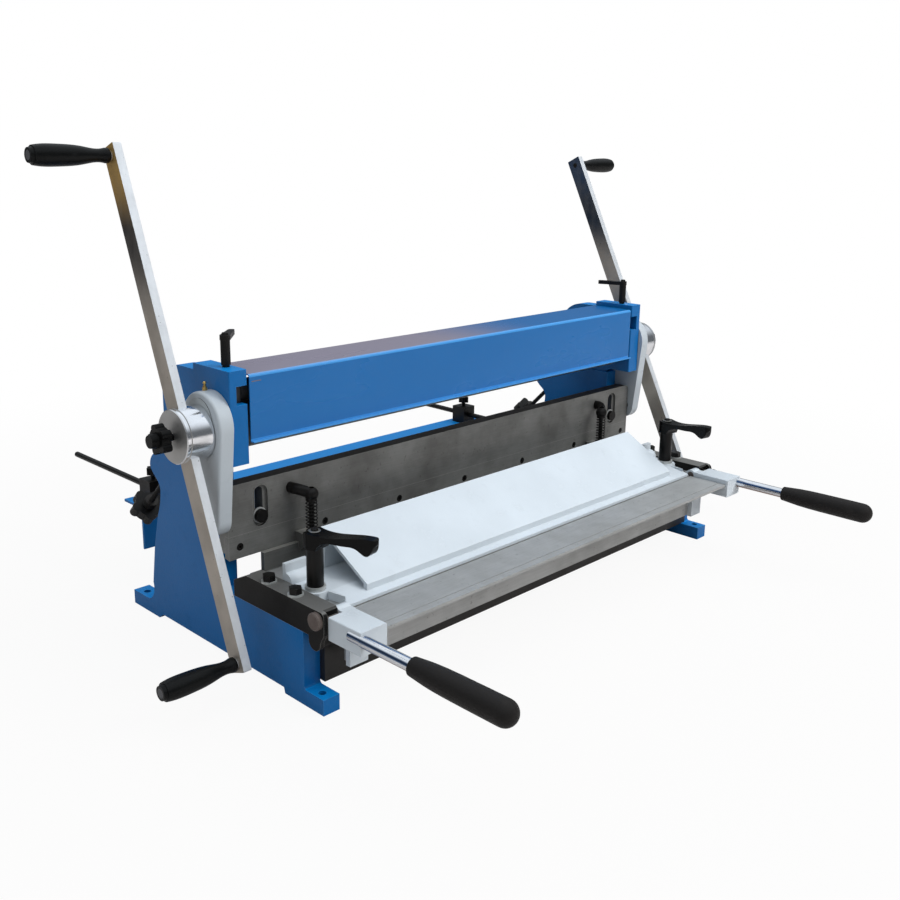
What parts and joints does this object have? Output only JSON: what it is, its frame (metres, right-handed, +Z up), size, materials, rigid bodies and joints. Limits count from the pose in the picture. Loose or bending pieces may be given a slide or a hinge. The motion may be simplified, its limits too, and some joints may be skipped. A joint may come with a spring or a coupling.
{
  "type": "sheet metal machine",
  "caption": "Bench machine for sheet metal with crank-driven shear, folding brake and slip rolls on cast stands, a clamp bar, a swinging leaf and a back gauge.",
  "frame": {"origin": "on the floor, at the middle of the four foot bolt holes", "axes": "+X along the machine, the folding leaf faces -Y, +Z up"},
  "size_m": [1.524, 1.365, 0.8538],
  "materials": {
    "blue_paint": "gloss enamel",
    "white_paint": "gloss enamel",
    "black_paint": "satin",
    "black_oxide": "blackened",
    "ground_steel": "ground",
    "blade_steel": "ground, oiled",
    "plated_steel": "zinc plated",
    "chrome": "polished",
    "spring_wire": "blackened",
    "black_plastic": "matt",
    "roll_steel": "turned",
    "cast_iron": "as cast",
    "brass": "machined"
  },
  "bodies": {
    "frame": {"stand_left": "blue_paint", "stand_right": "blue_paint", "head_left": "blue_paint", "head_right": "blue_paint", "guard": "blue_paint", "bed_beam": "black_paint", "table": "ground_steel", "lower_blade": "blade_steel", "end_block_left": "black_oxide", "end_block_right": "black_oxide", "end_bolts": "black_oxide", "pivot_pins": "blade_steel", "guide_bolts": "black_oxide", "rear_tie": "black_paint", "gauge_rods": "plated_steel", "clamp_studs": "blade_steel"},
    "crank": {"main_roll": "roll_steel", "hub_left": "chrome", "hub_right": "chrome"},
    "crank_bar_left": {"crank_bar_left": "plated_steel"},
    "crank_bar_right": {"crank_bar_right": "plated_steel"},
    "grip_top_left": {"grip_top_left": "black_plastic"},
    "grip_top_right": {"grip_top_right": "black_plastic"},
    "grip_low_left": {"grip_low_left": "black_plastic"},
    "grip_low_right": {"grip_low_right": "black_plastic"},
    "hub_knob_left": {"hub_knob_left": "black_plastic"},
    "hub_knob_right": {"hub_knob_right": "black_plastic"},
    "con_rod_left": {"con_rod_left": "white_paint", "nipple_left": "brass"},
    "con_rod_right": {"con_rod_right": "white_paint", "nipple_right": "brass"},
    "shear": {"blade_beam": "blade_steel", "upper_blade": "blade_steel", "blade_screws": "black_oxide", "spring_arms": "black_oxide"},
    "hold_down": {"hold_down_bar": "blade_steel", "spring_posts": "plated_steel", "spring_left": "spring_wire", "spring_right": "spring_wire"},
    "pinch": {"pinch_blocks": "cast_iron"},
    "pinch_roll": {"pinch_roll": "roll_steel"},
    "top_screw_left": {"top_screw_left": "black_oxide"},
    "top_screw_right": {"top_screw_right": "black_oxide"},
    "rear": {"rear_blocks": "cast_iron"},
    "rear_roll": {"rear_roll": "roll_steel"},
    "rear_knob_left": {"rear_knob_left": "black_oxide"},
    "rear_knob_right": {"rear_knob_right": "black_oxide"},
    "clamp": {"clamp_bar": "white_paint", "clamp_tubes": "black_oxide"},
    "lever_left": {"lever_left": "black_plastic"},
    "lever_right": {"lever_right": "black_plastic"},
    "apron": {"apron": "ground_steel", "bracket_left": "white_paint", "bracket_right": "white_paint", "handle_rods": "chrome", "handle_grips": "black_plastic"},
    "gauge": {"gauge_angle": "blue_paint", "gauge_blocks": "black_oxide"},
    "thumb_left": {"thumb_left": "black_plastic"},
    "thumb_right": {"thumb_right": "black_plastic"}
  },
  "joints": [
    {"name": "crank_turn", "type": "hinge", "parent": "frame", "child": "crank", "pos_m": [0, -0.0247, 0.409], "axis": [1, 0, 0], "range_deg": [0, 165]},
    {"name": "shear_slide", "type": "slide", "parent": "frame", "child": "shear", "axis": [0, 0, 1], "range_m": [-0.0375, 0], "deforming": ["spring_left", "spring_right"]},
    {"name": "rod_left", "type": "hinge", "parent": "crank", "child": "con_rod_left", "pos_m": [-0.57875, -0.0247, 0.428], "axis": [1, 0, 0], "range_deg": [-165, 0]},
    {"name": "bar_slide_left", "type": "slide", "parent": "crank", "child": "crank_bar_left", "axis": [0, 0.3616, 0.9323], "range_m": [-0.03, 0.01]},
    {"name": "grip_top_left", "type": "hinge", "parent": "crank_bar_left", "child": "grip_top_left", "pos_m": [-0.69, 0.13984, 0.83321], "axis": [1, 0, 0], "continuous": true},
    {"name": "grip_low_left", "type": "hinge", "parent": "crank_bar_left", "child": "grip_low_left", "pos_m": [-0.69, -0.15705, 0.06777], "axis": [1, 0, 0], "continuous": true},
    {"name": "hub_knob_left", "type": "hinge", "parent": "crank", "child": "hub_knob_left", "pos_m": [-0.668, -0.0247, 0.409], "axis": [1, 0, 0], "continuous": true},
    {"name": "rod_right", "type": "hinge", "parent": "crank", "child": "con_rod_right", "pos_m": [0.57875, -0.0247, 0.428], "axis": [1, 0, 0], "range_deg": [-165, 0]},
    {"name": "bar_slide_right", "type": "slide", "parent": "crank", "child": "crank_bar_right", "axis": [0, 0.4384, 0.8988], "range_m": [-0.03, 0.01]},
    {"name": "grip_top_right", "type": "hinge", "parent": "crank_bar_right", "child": "grip_top_right", "pos_m": [0.69, 0.17476, 0.81795], "axis": [1, 0, 0], "continuous": true},
    {"name": "grip_low_right", "type": "hinge", "parent": "crank_bar_right", "child": "grip_low_right", "pos_m": [0.69, -0.18514, 0.08004], "axis": [1, 0, 0], "continuous": true},
    {"name": "hub_knob_right", "type": "hinge", "parent": "crank", "child": "hub_knob_right", "pos_m": [0.668, -0.0247, 0.409], "axis": [1, 0, 0], "continuous": true},
    {"name": "pinch_slide", "type": "slide", "parent": "frame", "child": "pinch", "axis": [0, 0, 1], "range_m": [0, 0.003]},
    {"name": "pinch_roll_turn", "type": "hinge", "parent": "pinch", "child": "pinch_roll", "pos_m": [0, -0.0322, 0.4675], "axis": [1, 0, 0], "range_deg": [-350, 0]},
    {"name": "top_screw_left", "type": "hinge", "parent": "pinch", "child": "top_screw_left", "pos_m": [-0.544, -0.0322, 0.52], "axis": [0, 0, 1], "range_deg": [0, 545]},
    {"name": "top_screw_right", "type": "hinge", "parent": "pinch", "child": "top_screw_right", "pos_m": [0.544, -0.0322, 0.52], "axis": [0, 0, 1], "range_deg": [0, 545]},
    {"name": "rear_slide", "type": "slide", "parent": "frame", "child": "rear", "axis": [0, -0.7071, 0.7071], "range_m": [-0.018, 0.012]},
    {"name": "rear_roll_turn", "type": "hinge", "parent": "rear", "child": "rear_roll", "pos_m": [0, 0.0563, 0.3895], "axis": [1, 0, 0], "continuous": true},
    {"name": "rear_screw_left", "type": "hinge", "parent": "rear", "child": "rear_knob_left", "pos_m": [-0.544, 0.1503, 0.2955], "axis": [0, -0.7071, 0.7071], "range_deg": [-3270, 2190]},
    {"name": "rear_screw_right", "type": "hinge", "parent": "rear", "child": "rear_knob_right", "pos_m": [0.544, 0.1503, 0.2955], "axis": [0, -0.7071, 0.7071], "range_deg": [-3270, 2190]},
    {"name": "clamp_lift", "type": "slide", "parent": "frame", "child": "clamp", "axis": [0, 0, 1], "range_m": [0, 0.006]},
    {"name": "lever_left", "type": "hinge", "parent": "clamp", "child": "lever_left", "pos_m": [-0.5035, -0.1992, 0.25], "axis": [0, 0, 1], "range_deg": [0, 720]},
    {"name": "lever_right", "type": "hinge", "parent": "clamp", "child": "lever_right", "pos_m": [0.5035, -0.1992, 0.25], "axis": [0, 0, 1], "range_deg": [0, 720]},
    {"name": "hold_down_lift", "type": "slide", "parent": "frame", "child": "hold_down", "axis": [0, 0, 1], "range_m": [0, 0.004]},
    {"name": "fold", "type": "hinge", "parent": "frame", "child": "apron", "pos_m": [0, -0.2707, 0.156], "axis": [-1, 0, 0], "range_deg": [0, 90]},
    {"name": "gauge_slide", "type": "slide", "parent": "frame", "child": "gauge", "axis": [0, 1, 0], "range_m": [-0.19, 0.3]},
    {"name": "thumb_left", "type": "hinge", "parent": "gauge", "child": "thumb_left", "pos_m": [-0.453, 0.3803, 0.21], "axis": [0, 0, 1], "continuous": true},
    {"name": "thumb_right", "type": "hinge", "parent": "gauge", "child": "thumb_right", "pos_m": [0.453, 0.3803, 0.21], "axis": [0, 0, 1], "continuous": true}
  ],
  "couplings": [
    {"joint": "shear_slide", "follows": "crank_turn", "m_per_rad": -0.01297},
    {"joint": "rod_left", "follows": "crank_turn", "ratio": -0.9767},
    {"joint": "rod_right", "follows": "crank_turn", "ratio": -0.9767},
    {"joint": "pinch_roll_turn", "follows": "crank_turn", "ratio": -2.1053},
    {"joint": "top_screw_left", "follows": "pinch_slide", "rad_per_m": 3141.6},
    {"joint": "top_screw_right", "follows": "pinch_slide", "rad_per_m": 3141.6},
    {"joint": "rear_screw_left", "follows": "rear_slide", "rad_per_m": 3141.6},
    {"joint": "rear_screw_right", "follows": "rear_slide", "rad_per_m": 3141.6},
    {"joint": "lever_left", "follows": "clamp_lift", "rad_per_m": 2094.4},
    {"joint": "lever_right", "follows": "clamp_lift", "rad_per_m": 2094.4}
  ]
}
